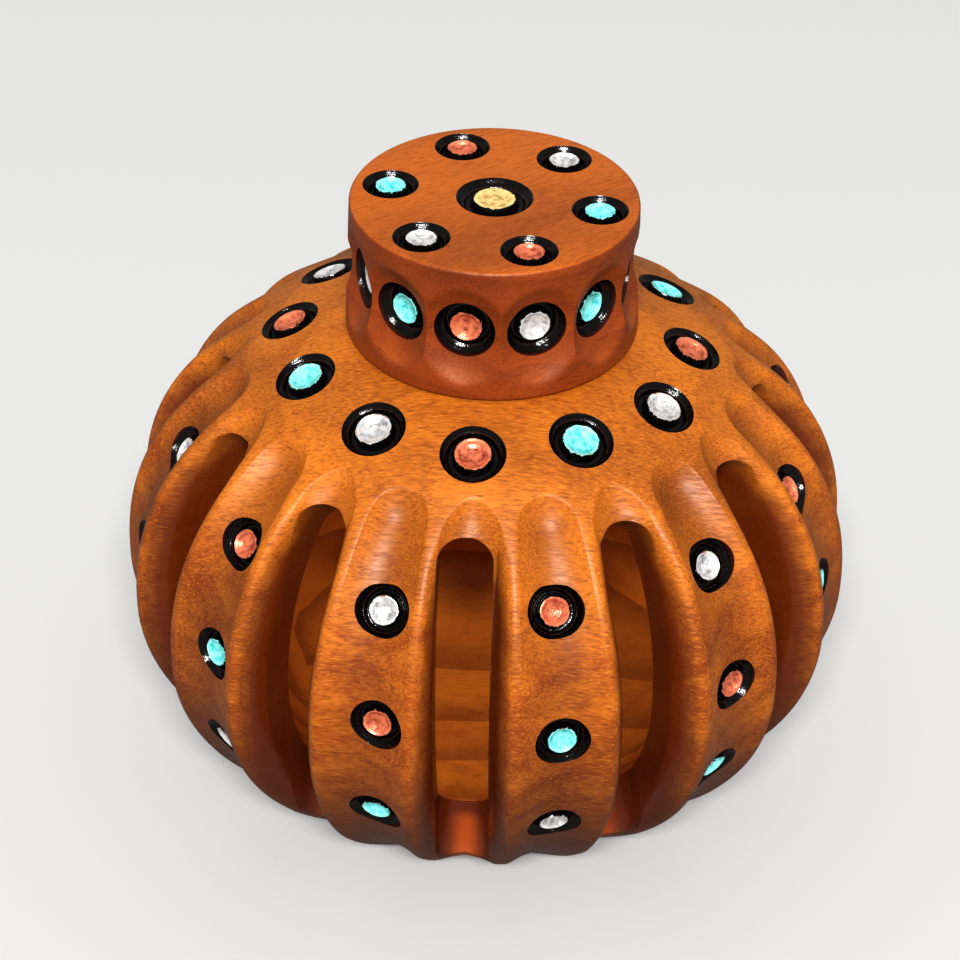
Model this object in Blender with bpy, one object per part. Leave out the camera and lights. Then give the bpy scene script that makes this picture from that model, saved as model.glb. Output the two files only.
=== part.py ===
# A lidded vessel turned from one block of cherry-like wood: a hollow globe whose sides
# carry 24 scooped flutes, every second one pierced through to the hollow, with cupped dots
# sunk into the shoulder, the solid flutes and the lid.
# Metres, +Z up. The origin is the middle of the base, and one pierced flute faces -Y.

import math

import bmesh
import bpy
from mathutils import Matrix, Vector

MM = 0.001

# Globe, measured over the ridges between the flutes
BELLY_RADIUS = 75 * MM
BELLY_HEIGHT = 55 * MM
CROWN_RISE = 59.3 * MM
CROWN_FULLNESS = 2.3
FOOT_DROP = 62.5 * MM
FOOT_FULLNESS = 1.88

# Hollow
BELLY_WALL = 13 * MM
CROWN_WALL = 9 * MM
FOOT_WALL = 11.5 * MM
FLOOR_THICKNESS = 17 * MM

# Lid and the ring that it sits on
LID_RADIUS = 28.9 * MM
LID_TAPER = 0.95 * MM
LID_HEIGHT = 27.5 * MM
LID_EDGE = 0.5 * MM
SEAT_WIDTH = 7.9 * MM
SEAT_MARGIN = 0.4 * MM
SEAT_GAP = 0.3 * MM
SPIGOT_LENGTH = 4.5 * MM
SPIGOT_CLEARANCE = 0.6 * MM
SPIGOT_DISH = 1.5 * MM
LID_TURN = math.radians(21.7)

# Scoops round the lid
LID_SCOOPS = 12
LID_SCOOP_RADIUS = 18 * MM
LID_SCOOP_DEPTH = 3.3 * MM

# Flutes
FLUTES = 24
RIDGE_WIDTH = 2.6 * MM
FLUTE_TOP_DEPTH = 3.1 * MM
FLUTE_BELLY_DEPTH = 2.4 * MM
FLUTE_GAP = 1.6 * MM
FLUTE_END_RADIUS = 45 * MM
FLUTE_FADE = 16 * MM

# Slots through every second flute, and the spoon-shaped groove below each of them
SLOT_WIDTH = 10.5 * MM
SLOT_TOP_GAP = 7.3 * MM
SLOT_FLOOR_HEIGHT = 28.5 * MM
GROOVE_SINK = 13.5 * MM
GROOVE_END_HEIGHT = 16.5 * MM
GROOVE_CORNER = 1.6 * MM
GROOVE_SWEEP = 1.7
SLOT_TURN_IN = 4.5 * MM

# Cupped dots
SHOULDER_BAND = 4.6 * MM
SHOULDER_DOT_RADIUS = 6.5 * MM
FLUTE_DOT_RADIUS = 5.3 * MM
FLUTE_DOT_RISES = (33.2 * MM, 9.8 * MM, -15.2 * MM)
LID_SIDE_DOT_GAP = 1.6 * MM
LID_TOP_DOT_RADIUS = 5.5 * MM
LID_TOP_DOTS = 6
LID_TOP_MARGIN = 1.95 * MM
LID_CENTRE_DOT_RADIUS = 7.5 * MM
DOT_DEPTH = 2.0 * MM
DOT_BOSS_DROP = 0.7 * MM
DOT_CUP_DROP = 1.6 * MM
DOT_GROOVE_SHARE = 0.76
DOT_BOSS_SHARE = 0.56
DOT_FLARE = 1.4 * MM

# Facets
# FLUTE_COLUMNS are shares of a flute's half pitch, with the ridge between the last and first.
FLUTE_COLUMNS = (-0.84, -0.36, 0.36, 0.84)
HOLLOW_SIDES = 24
LID_SIDES = 34
DOT_SIDES = 7
SCOOP_SIDES = 10
SCOOP_CAP_DEPTHS = 1.35
ROW_SPACING = 18 * MM
PROFILE_STEPS = 240
FIRST_ROW_LEAD = 0.3 * MM
ARCH_ROW_SHARE = 0.45
FADE_ROW_SHARE = 0.6

PITCH = 2 * math.pi / FLUTES
CUT_OVERSHOOT = 4 * MM
SLOT_OVERSHOOT = 9 * MM


def clear_scene():
    for thing in list(bpy.data.objects):
        bpy.data.objects.remove(thing, do_unlink=True)


def wood(name, colour, roughness):
    material = bpy.data.materials.new(name)
    material.use_nodes = True
    shader = material.node_tree.nodes["Principled BSDF"]
    shader.inputs["Base Color"].default_value = (*colour, 1)
    shader.inputs["Roughness"].default_value = roughness
    shader.inputs["Metallic"].default_value = 0.0
    material.diffuse_color = (*colour, 1)
    return material


# The globe is two quarters of a superellipse that meet at the widest line.
def quarter_height(radius, widest, reach, fullness):
    return reach * (1 - min(radius / widest, 1) ** fullness) ** (1 / fullness)


def quarter_radius(rise, widest, reach, fullness):
    return widest * (1 - min(rise / reach, 1) ** fullness) ** (1 / fullness)


def quarter_points(widest, reach, fullness, last_angle, steps, sign):
    points = []
    for step in range(steps + 1):
        angle = last_angle * step / steps
        radius = widest * max(math.cos(angle), 0) ** (2 / fullness)
        height = BELLY_HEIGHT + sign * reach * math.sin(angle) ** (2 / fullness)
        points.append(Vector((radius, height)))
    return points


def angle_at_radius(radius, widest, fullness):
    return math.acos(min(radius / widest, 1) ** (fullness / 2))


SEAT_RADIUS = LID_RADIUS + SEAT_MARGIN
MOUTH_RADIUS = LID_RADIUS - SEAT_WIDTH
SEAT_HEIGHT = BELLY_HEIGHT + quarter_height(SEAT_RADIUS, BELLY_RADIUS, CROWN_RISE, CROWN_FULLNESS)
FOOT_RADIUS = quarter_radius(BELLY_HEIGHT, BELLY_RADIUS, FOOT_DROP, FOOT_FULLNESS)
SHOULDER_DOT_RING = SEAT_RADIUS + SHOULDER_BAND + SHOULDER_DOT_RADIUS
FLUTE_TOP_RADIUS = SHOULDER_DOT_RING + SHOULDER_DOT_RADIUS + FLUTE_GAP


# The ridge line from the seat down to the foot, with its length measured along it.
class RidgeLine:
    def __init__(self):
        crown = quarter_points(
            BELLY_RADIUS, CROWN_RISE, CROWN_FULLNESS,
            angle_at_radius(SEAT_RADIUS, BELLY_RADIUS, CROWN_FULLNESS), PROFILE_STEPS, 1,
        )
        foot = quarter_points(
            BELLY_RADIUS, FOOT_DROP, FOOT_FULLNESS,
            angle_at_radius(FOOT_RADIUS, BELLY_RADIUS, FOOT_FULLNESS), PROFILE_STEPS, -1,
        )
        self.points = crown[::-1] + foot[1:]
        self.lengths = [0.0]
        for before, after in zip(self.points, self.points[1:]):
            self.lengths.append(self.lengths[-1] + (after - before).length)
        self.total = self.lengths[-1]

    def at(self, length):
        length = min(max(length, 0.0), self.total)
        index = 1
        while index < len(self.lengths) - 1 and self.lengths[index] < length:
            index += 1
        before, after = self.points[index - 1], self.points[index]
        share = (length - self.lengths[index - 1]) / (self.lengths[index] - self.lengths[index - 1])
        return before.lerp(after, share)

    def normal(self, length):
        step = 0.5 * MM
        along = (self.at(length + step) - self.at(length - step)).normalized()
        return Vector((-along.y, along.x))

    def length_at_height(self, height):
        index = next(i for i, point in enumerate(self.points) if point.y <= height)
        return self.lengths[index]

    def length_at_crown_radius(self, radius):
        index = next(i for i, point in enumerate(self.points) if point.x >= radius)
        return self.lengths[index]

    def length_at_foot_radius(self, radius):
        count = len(self.points)
        index = next(i for i in range(count - 1, 0, -1) if self.points[i].x >= radius)
        return self.lengths[index]


RIDGE = RidgeLine()
FLUTE_TOP = RIDGE.length_at_crown_radius(FLUTE_TOP_RADIUS)
FLUTE_END = RIDGE.length_at_foot_radius(FLUTE_END_RADIUS)
BELLY_LINE = RIDGE.length_at_height(BELLY_HEIGHT)


def in_space(azimuth, radius, height, sideways=0.0):
    # Azimuth 0 faces -Y and grows towards +X.
    outward = Vector((math.sin(azimuth), -math.cos(azimuth), 0))
    across = Vector((math.cos(azimuth), math.sin(azimuth), 0))
    return outward * radius + across * sideways + Vector((0, 0, height))


def flute_half_width(length):
    return RIDGE.at(length).x * math.sin(PITCH / 2) - RIDGE_WIDTH / 2


def flute_depth(length):
    # Deepest just under its arched top, shallower at the widest line and below.
    share = min(max((length - FLUTE_TOP) / (BELLY_LINE - FLUTE_TOP), 0), 1)
    return FLUTE_TOP_DEPTH + (FLUTE_BELLY_DEPTH - FLUTE_TOP_DEPTH) * share


def scoop_depth(length, sideways):
    # A round-ended scoop: a parabola across, closed by a dome at the top and a fade below.
    across = (sideways / flute_half_width(length)) ** 2
    arch = flute_half_width(FLUTE_TOP)
    above = max(FLUTE_TOP + arch - length, 0) / arch
    below = max(length - (FLUTE_END - FLUTE_FADE), 0) / FLUTE_FADE
    return flute_depth(length) * max(1 - across - above ** 2 - below ** 2, 0)


def ridge_rows():
    arch = flute_half_width(FLUTE_TOP)
    first = FLUTE_TOP + arch
    last = FLUTE_END - FLUTE_FADE
    rows = [0.0, FLUTE_TOP - FIRST_ROW_LEAD, FLUTE_TOP + ARCH_ROW_SHARE * arch]
    for start, end in ((first, BELLY_LINE), (BELLY_LINE, last)):
        count = max(round((end - start) / ROW_SPACING), 1)
        rows += [start + (end - start) * step / count for step in range(count)]
    rows += [last, last + FADE_ROW_SHARE * FLUTE_FADE, FLUTE_END, RIDGE.total]
    return rows


def turned(mesh, profile, sides):
    # A closed profile from axis to axis, spun about Z.
    rows = [mesh.verts.new((radius, 0, height)) for radius, height in profile]
    edges = [mesh.edges.new(pair) for pair in zip(rows, rows[1:])]
    bmesh.ops.spin(
        mesh, geom=rows + edges, cent=(0, 0, 0), axis=(0, 0, 1),
        angle=2 * math.pi, steps=sides, use_merge=True,
    )
    bmesh.ops.remove_doubles(mesh, verts=mesh.verts, dist=0.001 * MM)
    bmesh.ops.recalc_face_normals(mesh, faces=mesh.faces)


def object_from(name, mesh, material=None, cutter=False):
    data = bpy.data.meshes.new(name)
    mesh.to_mesh(data)
    mesh.free()
    made = bpy.data.objects.new(name, data)
    bpy.context.scene.collection.objects.link(made)
    if material:
        data.materials.append(material)
    if cutter:
        made.hide_render = True
        made.display_type = "WIRE"
    return made


def cut(body, cutter):
    modifier = body.modifiers.new("Cut " + cutter.name, "BOOLEAN")
    modifier.operation = "DIFFERENCE"
    modifier.solver = "EXACT"
    modifier.object = cutter


def fluted_globe():
    mesh = bmesh.new()
    rows = ridge_rows()
    profile = [(0, RIDGE.at(0).y)] + [tuple(RIDGE.at(row)) for row in rows] + [(0, 0)]
    columns = len(FLUTE_COLUMNS)
    turned(mesh, profile, FLUTES * columns)
    heights = [RIDGE.at(row).y for row in rows]
    for vertex in mesh.verts:
        radius = math.hypot(vertex.co.x, vertex.co.y)
        if radius < 1 * MM:
            continue
        # The evenly spun columns slide to their places in the flute, then sink into it.
        turn = math.atan2(vertex.co.x, -vertex.co.y)
        column = round(turn / (PITCH / columns)) + columns // 2
        flute, place_in_flute = divmod(column, columns)
        share = FLUTE_COLUMNS[place_in_flute]
        azimuth = flute * PITCH + share * PITCH / 2
        row = min(range(len(rows)), key=lambda index: abs(heights[index] - vertex.co.z))
        length = rows[row]
        sunk = 0.0
        if FLUTE_TOP < length < FLUTE_END:
            sunk = scoop_depth(length, radius * math.sin(share * PITCH / 2))
        place = RIDGE.at(length) - RIDGE.normal(length) * sunk
        vertex.co = in_space(azimuth, place.x, place.y)
    return mesh


def hollow_profile():
    widest = BELLY_RADIUS - BELLY_WALL
    rise = CROWN_RISE - CROWN_WALL
    drop = FOOT_DROP - FOOT_WALL
    floor_depth = BELLY_HEIGHT - FLOOR_THICKNESS
    floor_radius = quarter_radius(floor_depth, widest, drop, FOOT_FULLNESS)
    crown = quarter_points(
        widest, rise, CROWN_FULLNESS, angle_at_radius(MOUTH_RADIUS, widest, CROWN_FULLNESS), 4, 1,
    )
    foot = quarter_points(
        widest, drop, FOOT_FULLNESS, angle_at_radius(floor_radius, widest, FOOT_FULLNESS), 3, -1,
    )
    above = SEAT_HEIGHT + CUT_OVERSHOOT
    points = [(0, above), (MOUTH_RADIUS, above)]
    points += [tuple(point) for point in crown[::-1] + foot[1:]]
    points.append((0, foot[-1].y))
    return points


def hollow_cutter():
    mesh = bmesh.new()
    turned(mesh, hollow_profile(), HOLLOW_SIDES)
    return object_from("hollow", mesh, cutter=True)


def slot_sections():
    # Each section is the slot's half width with its inner and outer end in the radial plane,
    # from the arched top down to where the groove under the slot runs out.
    half = SLOT_WIDTH / 2
    top = FLUTE_TOP + SLOT_TOP_GAP
    reach = BELLY_WALL + SLOT_OVERSHOOT
    arch_steps, side_steps, floor_steps = 3, 3, 2
    widths = []
    for step in range(1, arch_steps + 1):
        angle = math.pi / 2 * step / arch_steps
        widths.append((half * math.sin(angle), top + half * (1 - math.cos(angle))))
    first, last = top + half, RIDGE.length_at_height(SLOT_FLOOR_HEIGHT + SLOT_TURN_IN)
    for step in range(1, side_steps + 1):
        widths.append((half, first + (last - first) * step / side_steps))
    sections = []
    for width, length in widths:
        place, normal = RIDGE.at(length), RIDGE.normal(length)
        sections.append((width, place - normal * reach, place + normal * SLOT_OVERSHOOT))
    # The groove's floor leaves the hollow nearly upright and sweeps outwards to its end.
    floor_length = RIDGE.length_at_height(SLOT_FLOOR_HEIGHT)
    end_length = RIDGE.length_at_height(GROOVE_END_HEIGHT)
    floor = RIDGE.at(floor_length) - Vector((GROOVE_SINK, 0))
    end = RIDGE.at(end_length)
    for step in range(floor_steps + 1):
        share = step / floor_steps
        length = floor_length + (end_length - floor_length) * share
        radius = floor.x + (end.x - floor.x) * share ** GROOVE_SWEEP
        height = floor.y + (end.y - floor.y) * share
        outer = RIDGE.at(length) + RIDGE.normal(length) * SLOT_OVERSHOOT
        sections.append((half, Vector((radius, height)), outer))
    tail = (sections[-1][1] - sections[-2][1]).normalized() * SLOT_OVERSHOOT
    sections.append((half, sections[-1][1] + tail, sections[-1][2] + tail))
    return sections


def add_slot(mesh, azimuth):
    rings = []
    for width, inner, outer in slot_sections():
        corner = min(GROOVE_CORNER, width)
        outward = (outer - inner).normalized()
        raised = inner + outward * corner
        section = [
            (outer, width), (outer, -width), (raised, -width),
            (inner, corner - width), (inner, width - corner), (raised, width),
        ]
        if width <= corner:
            section = [(outer, width), (outer, -width), (raised, -width), (raised, width)]
        rings.append([mesh.verts.new(in_space(azimuth, p.x, p.y, side)) for p, side in section])
    for upper, lower in zip(rings, rings[1:]):
        count = len(upper)
        for index in range(count):
            after = (index + 1) % count
            mesh.faces.new((upper[index], upper[after], lower[after], lower[index]))
    mesh.faces.new(rings[0][::-1])
    mesh.faces.new(rings[-1])


def slots_cutter():
    mesh = bmesh.new()
    for index in range(0, FLUTES, 2):
        add_slot(mesh, index * PITCH)
    bmesh.ops.recalc_face_normals(mesh, faces=mesh.faces)
    bmesh.ops.dissolve_limit(
        mesh, angle_limit=math.radians(0.5), verts=mesh.verts, edges=mesh.edges,
    )
    return object_from("slots", mesh, cutter=True)


def add_dot(mesh, radius, place, outward, up):
    # A ring groove with a cupped boss left standing in its middle.
    profile = [
        (0, -DOT_CUP_DROP), (radius * DOT_BOSS_SHARE, -DOT_BOSS_DROP),
        (radius * DOT_GROOVE_SHARE, -DOT_DEPTH), (radius, 0),
        (radius + DOT_FLARE, CUT_OVERSHOOT), (0, CUT_OVERSHOOT),
    ]
    dot = bmesh.new()
    turned(dot, profile, DOT_SIDES)
    across = up.cross(outward).normalized()
    frame = Matrix((across, outward.cross(across), outward)).transposed().to_4x4()
    half_side = Matrix.Rotation(math.pi / DOT_SIDES, 4, "Z")
    bmesh.ops.transform(dot, matrix=Matrix.Translation(place) @ frame @ half_side, verts=dot.verts)
    part = bpy.data.meshes.new("dot")
    dot.to_mesh(part)
    dot.free()
    mesh.from_mesh(part)
    bpy.data.meshes.remove(part)


def add_globe_dot(mesh, radius, azimuth, length, sunk):
    place = RIDGE.at(length) - RIDGE.normal(length) * sunk
    normal = RIDGE.normal(length)
    outward = in_space(azimuth, normal.x, normal.y)
    up = in_space(azimuth, -normal.y, normal.x)
    add_dot(mesh, radius, in_space(azimuth, place.x, place.y), outward, up)


def globe_dots_cutter():
    mesh = bmesh.new()
    shoulder = RIDGE.length_at_crown_radius(SHOULDER_DOT_RING)
    for index in range(0, FLUTES, 2):
        add_globe_dot(mesh, SHOULDER_DOT_RADIUS, index * PITCH, shoulder, 0.0)
    for index in range(1, FLUTES, 2):
        for rise in FLUTE_DOT_RISES:
            length = RIDGE.length_at_height(BELLY_HEIGHT + rise)
            add_globe_dot(mesh, FLUTE_DOT_RADIUS, index * PITCH, length, scoop_depth(length, 0))
    return object_from("globe_dots", mesh, cutter=True)


LID_BOTTOM = SEAT_HEIGHT + SEAT_GAP
LID_TOP = LID_BOTTOM + LID_HEIGHT
LID_TOP_RADIUS = LID_RADIUS - LID_TAPER
LID_MIDDLE = LID_BOTTOM + LID_HEIGHT / 2
LID_SCOOP_FLOOR = LID_RADIUS - LID_TAPER / 2 - LID_SCOOP_DEPTH
LID_SIDE_DOT_RADIUS = LID_SCOOP_FLOOR * math.sin(math.pi / LID_SCOOPS) - LID_SIDE_DOT_GAP / 2


def lid_body():
    mesh = bmesh.new()
    spigot = MOUTH_RADIUS - SPIGOT_CLEARANCE
    spigot_end = SEAT_HEIGHT - SPIGOT_LENGTH
    profile = [
        (0, LID_TOP), (LID_TOP_RADIUS - LID_EDGE, LID_TOP), (LID_TOP_RADIUS, LID_TOP - LID_EDGE),
        (LID_RADIUS, LID_BOTTOM + LID_EDGE), (LID_RADIUS - LID_EDGE, LID_BOTTOM),
        (spigot, LID_BOTTOM), (spigot, spigot_end), (0, spigot_end + SPIGOT_DISH),
    ]
    turned(mesh, profile, LID_SIDES)
    return mesh


def add_lid_scoop(mesh, azimuth, turn):
    # The cap of a ball whose middle lies outside the lid, closed flat behind.
    scoop = bmesh.new()
    cap = math.acos(1 - SCOOP_CAP_DEPTHS * LID_SCOOP_DEPTH / LID_SCOOP_RADIUS)
    rings = 3
    profile = [(0, 0)]
    for step in range(1, rings + 1):
        angle = cap * step / rings
        profile.append(
            (LID_SCOOP_RADIUS * math.sin(angle), LID_SCOOP_RADIUS * (1 - math.cos(angle)))
        )
    edge_radius, edge_height = profile[-1]
    behind = edge_height + 2 * CUT_OVERSHOOT
    profile += [(edge_radius, behind), (0, behind)]
    turned(scoop, profile, SCOOP_SIDES)
    outward = in_space(azimuth, 1, 0)
    across = in_space(azimuth, 0, 0, 1)
    frame = Matrix((across, outward.cross(across), outward)).transposed().to_4x4()
    place = Matrix.Translation(in_space(azimuth, LID_SCOOP_FLOOR, LID_MIDDLE))
    own_turn = Matrix.Rotation(turn, 4, "Z")
    bmesh.ops.transform(scoop, matrix=place @ frame @ own_turn, verts=scoop.verts)
    part = bpy.data.meshes.new("scoop")
    scoop.to_mesh(part)
    scoop.free()
    mesh.from_mesh(part)
    bpy.data.meshes.remove(part)


def lid_azimuth(index, count):
    return LID_TURN + 2 * math.pi * index / count


def lid_scoop_cutter(name, first):
    # Neighbouring scoops overlap, so every second one goes in a cutter of its own, with its
    # facets half a side round from the others', which keeps their edges from meeting.
    mesh = bmesh.new()
    for index in range(first, LID_SCOOPS, 2):
        add_lid_scoop(mesh, lid_azimuth(index, LID_SCOOPS), first * math.pi / SCOOP_SIDES)
    return object_from(name, mesh, cutter=True)


def lid_side_dots_cutter(name, first):
    # Neighbouring dots all but touch, so they are shared out in the same way.
    mesh = bmesh.new()
    for index in range(first, LID_SCOOPS, 2):
        azimuth = lid_azimuth(index, LID_SCOOPS)
        place = in_space(azimuth, LID_SCOOP_FLOOR, LID_MIDDLE)
        add_dot(mesh, LID_SIDE_DOT_RADIUS, place, in_space(azimuth, 1, 0), Vector((0, 0, 1)))
    return object_from(name, mesh, cutter=True)


def lid_top_dots_cutter():
    mesh = bmesh.new()
    up = Vector((0, 0, 1))
    ring = LID_TOP_RADIUS - LID_TOP_MARGIN - LID_TOP_DOT_RADIUS
    for index in range(LID_TOP_DOTS):
        azimuth = lid_azimuth(index, LID_TOP_DOTS)
        place = in_space(azimuth, ring, LID_TOP)
        add_dot(mesh, LID_TOP_DOT_RADIUS, place, up, in_space(azimuth, 1, 0))
    add_dot(mesh, LID_CENTRE_DOT_RADIUS, Vector((0, 0, LID_TOP)), up, Vector((0, 1, 0)))
    return object_from("lid_top_dots", mesh, cutter=True)


def build_vessel():
    material = wood("vessel_wood", (0.52, 0.20, 0.06), 0.38)
    vessel = object_from("vessel", fluted_globe(), material)
    cut(vessel, hollow_cutter())
    cut(vessel, slots_cutter())
    cut(vessel, globe_dots_cutter())
    vessel.data.shade_smooth()
    vessel.data.set_sharp_from_angle(angle=math.radians(40))


def build_lid():
    material = wood("lid_wood", (0.33, 0.11, 0.05), 0.34)
    lid = object_from("lid", lid_body(), material)
    cut(lid, lid_scoop_cutter("lid_scoops_even", 0))
    cut(lid, lid_scoop_cutter("lid_scoops_odd", 1))
    cut(lid, lid_side_dots_cutter("lid_side_dots_even", 0))
    cut(lid, lid_side_dots_cutter("lid_side_dots_odd", 1))
    cut(lid, lid_top_dots_cutter())
    lid.data.shade_smooth()
    lid.data.set_sharp_from_angle(angle=math.radians(40))


clear_scene()
build_vessel()
build_lid()
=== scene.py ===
import math

import bmesh
import bpy
import numpy as np
from mathutils import Matrix, Vector, noise


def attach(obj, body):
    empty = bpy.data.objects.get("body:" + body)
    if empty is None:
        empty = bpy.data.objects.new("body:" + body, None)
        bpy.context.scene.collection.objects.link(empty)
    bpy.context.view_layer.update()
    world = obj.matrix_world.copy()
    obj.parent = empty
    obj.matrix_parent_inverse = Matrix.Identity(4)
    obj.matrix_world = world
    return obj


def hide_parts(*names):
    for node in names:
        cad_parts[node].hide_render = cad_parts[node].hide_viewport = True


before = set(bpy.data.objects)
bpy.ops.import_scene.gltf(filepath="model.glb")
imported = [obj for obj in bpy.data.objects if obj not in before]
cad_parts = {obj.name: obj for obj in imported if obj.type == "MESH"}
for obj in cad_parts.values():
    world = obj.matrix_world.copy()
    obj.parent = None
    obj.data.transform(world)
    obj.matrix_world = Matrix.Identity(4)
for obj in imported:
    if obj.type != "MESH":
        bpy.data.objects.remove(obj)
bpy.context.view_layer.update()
mm = 0.001
sharpAngle = math.radians(38)
weldGap = 0.001 * mm

# Globe: the same driving sizes as the solid, with finer edges on top of them
vessel = {
    "bellyRadius": 75 * mm,
    "bellyHeight": 55 * mm,
    "crownRise": 59.3 * mm,
    "crownFullness": 2.3,
    "footDrop": 62.5 * mm,
    "footFullness": 1.88,
    "bellyWall": 13 * mm,
    "crownWall": 9 * mm,
    "footWall": 11.5 * mm,
    "floorThickness": 17 * mm,
    "seatRadius": 29.3 * mm,
    "mouthRadius": 21 * mm,
    "flutes": 24,
    "ridgeWidth": 2.4 * mm,
    "shoulderDotRing": 40.4 * mm,
    "fluteTopRadius": 48.5 * mm,
    "fluteEndRadius": 45 * mm,
    "fluteFade": 16 * mm,
    "dottedArch": 7.0 * mm,
    "piercedArch": 8.6 * mm,
    "dottedRoundness": 2.3,
    "piercedRoundness": 1.75,
    "topDepth": 3.2 * mm,
    "bellyDepth": 2.4 * mm,
    "footDepth": 2.0 * mm,
    "edgeSoftness": 0.07,
    "flankShare": 0.86,  # of the wall's thickness, where a ridge rolls over into a slot
    "flankRise": 1.4,
    "flankFall": 0.6,
    "flankInset": 0.1 * mm,
    "flankStart": 7 * mm,  # from the flutes' tops
    "flankFull": 24 * mm,
    "flankFadeStart": 21 * mm,  # from the grooves' ends
    "flankFadeEnd": 4 * mm,
    "archEdge": 0.45 * mm,
    "slotWidth": 10.2 * mm,
    "slotEase": 0.12 * mm,
    "slotTopGap": 7.3 * mm,
    "slotFloorHeight": 28.5 * mm,
    "slotTurnIn": 4.5 * mm,
    "slotTopRise": math.radians(27),
    "slotPivot": 2.2 * mm,
    "slotReach": 7 * mm,  # of the cutter, inwards from the wall
    "slotPast": 9 * mm,  # of the cutter, outwards from the ridges
    "slotLeans": (-1.0, 0.3, 0.5, -0.4, 0.6, -0.2, 0.4, -0.6, 0.3, 0.5, -0.5, -0.3),  # in millimetres
    "footLean": 0.4,
    "grooveSink": 13.5 * mm,
    "grooveEndHeight": 16.5 * mm,
    "grooveCorner": 4.6 * mm,
    "grooveSweep": 1.7,
    "hollowRise": 3 * mm,
    "hollowRows": 24,
    "hollowSides": 96,
}

# Dots: each point of a profile is a share of the outer radius and the height there in millimetres,
# from the cup's middle outwards. Steps are in millimetres too, sideways and down the ridge line.
dot = {
    "profile": (
        (0.0, -1.3), (0.14, -1.27), (0.26, -1.12), (0.36, -0.84), (0.435, -0.46), (0.475, -0.16),
        (0.505, -0.06), (0.535, -0.12), (0.56, -0.5), (0.585, -1.4), (0.61, -2.1), (0.66, -2.25),
        (0.72, -2.2), (0.765, -1.85), (0.785, -1.35), (0.805, -1.2), (0.825, -1.17), (0.875, -0.8),
        (0.935, -0.4), (1.0, 0.05), (1.02, 0.75), (1.035, 1.6), (1.06, 3.6),
    ),
    "centreProfile": (
        (0.0, -0.42), (0.15, -0.44), (0.3, -0.5), (0.42, -0.42), (0.5, -0.3), (0.545, -0.34),
        (0.57, -0.6), (0.595, -1.4), (0.62, -2.1), (0.67, -2.25), (0.73, -2.15), (0.775, -1.75),
        (0.795, -1.3), (0.815, -1.2), (0.84, -1.15), (0.885, -0.8), (0.94, -0.4), (1.0, 0.05),
        (1.02, 0.75), (1.03, 1.5), (1.04, 2.4),
    ),
    "sides": 30,
    "mapScale": 0.4,
    "raggedness": 0.16 * mm,
    "rimShare": 0.5,
    "rimWidth": 0.05,
    "lumps": 0.07 * mm,
    "cupWidth": 0.36,
    "cupLumps": 0.7,
    "lumpScale": 900,
    "shoulderRadius": 6.5 * mm,
    "fluteRadius": 5.25 * mm,
    "fluteRises": (33.2 * mm, 9.8 * mm, -15.2 * mm),
    "shoulderSteps": (
        (-0.9, 0.0), (-0.8, -0.9), (-1.4, 0.4), (-1.3, -0.4), (0.4, 0.2), (0.5, -0.3),
        (-0.4, 0.4), (0.8, 0.1), (-1.0, 0.6), (-1.8, 0.4), (-1.6, -0.9), (-0.2, -0.6),
    ),
    "fluteSteps": (
        ((-0.3, -1.2), (-0.1, -1.1), (-1.2, 0.3), (0.4, -0.5), (-0.6, 0.2), (0.5, 0.4),
         (0.2, -0.6), (-0.4, 0.5), (0.7, -0.2), (1.4, -1.6), (1.2, -0.7), (0.9, 0.4)),
        ((-0.1, 0.8), (-0.4, 0.5), (-1.8, -0.8), (0.3, 0.4), (-0.5, -0.6), (0.6, 0.2),
         (-0.2, 0.5), (0.5, -0.4), (-0.6, 0.3), (1.2, -0.4), (2.2, -1.0), (2.6, -1.2)),
        ((-0.4, 0.3), (-1.4, -1.2), (-0.8, 0.3), (0.4, -0.4), (-0.3, 0.5), (0.5, 0.2),
         (-0.4, -0.3), (0.3, 0.4), (0.6, -0.5), (1.0, 0.3), (2.0, -1.2), (1.6, -1.0)),
    ),
    "lidSideRadius": 5.75 * mm,
    "lidTopRadius": 5.5 * mm,
    "lidCentreRadius": 7.5 * mm,
}

# Lid: a tapered drum with ball-shaped scoops round it
lid = {
    "radius": 28.9 * mm,
    "taper": 0.95 * mm,
    "height": 27.5 * mm,
    "edge": 0.7 * mm,
    "gap": 0.3 * mm,
    "turn": math.radians(21.7),
    "scoops": 12,
    "scoopRadius": 18 * mm,
    "scoopDepth": 3.3 * mm,
    "ridgeSoftness": 0.14 * mm,
    "scoopFade": 0.7 * mm,
    "spigotClearance": 0.6 * mm,
    "spigotLength": 4.5 * mm,
    "spigotEdge": 0.4 * mm,
    "footEdge": 0.6,
    "arcSteps": 4,
    "sideSteps": 46,
    "topDots": 6,
    "topMargin": 1.95 * mm,
}


def quarterCurve(widest, reach, fullness, endRadius, sign):
    lastAngle = math.acos(min(endRadius / widest, 1) ** (fullness / 2))
    angle = np.linspace(0, lastAngle, 700)
    radius = widest * np.cos(angle) ** (2 / fullness)
    height = vessel["bellyHeight"] + sign * reach * np.sin(angle) ** (2 / fullness)
    return np.stack((radius, height), axis=1)


def quarterRadius(rise, widest, reach, fullness):
    return widest * (1 - min(rise / reach, 1) ** fullness) ** (1 / fullness)


footRadius = quarterRadius(
    vessel["bellyHeight"], vessel["bellyRadius"], vessel["footDrop"], vessel["footFullness"]
)
crown = quarterCurve(
    vessel["bellyRadius"], vessel["crownRise"], vessel["crownFullness"], vessel["seatRadius"], 1
)
foot = quarterCurve(
    vessel["bellyRadius"], vessel["footDrop"], vessel["footFullness"], footRadius, -1
)
ridgeLine = np.concatenate((crown[::-1], foot[1:]))
ridgeLength = np.concatenate(([0], np.cumsum(np.linalg.norm(np.diff(ridgeLine, axis=0), axis=1))))
lineEnd = float(ridgeLength[-1])


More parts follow.
